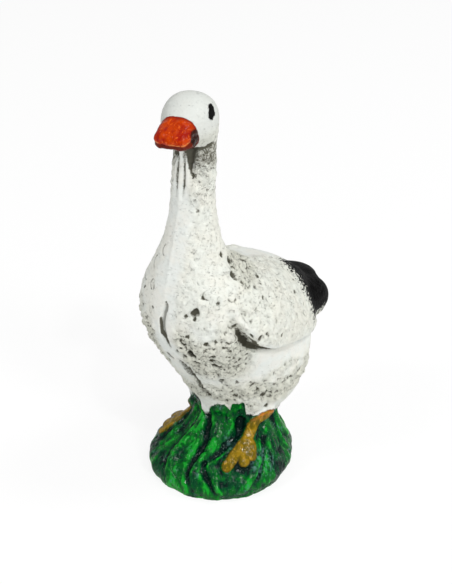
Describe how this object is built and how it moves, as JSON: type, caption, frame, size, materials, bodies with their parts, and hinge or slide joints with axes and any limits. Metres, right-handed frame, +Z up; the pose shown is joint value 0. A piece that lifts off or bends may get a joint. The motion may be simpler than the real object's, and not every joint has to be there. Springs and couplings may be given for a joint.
{
  "type": "goose figurine",
  "caption": "Standing goose figurine with an upright neck, folded wings and a short tail, cast in one piece with its grassy mound base.",
  "frame": {"origin": "middle of the flat underside of the mound", "axes": "+Z up through the neck, -Y the way the breast faces, +X the goose's left side"},
  "size_m": [0.0467, 0.0701, 0.1249],
  "materials": {
    "painted_plaster": "matte"
  },
  "bodies": {
    "root": {"goose_figurine": "painted_plaster"}
  },
  "joints": []
}
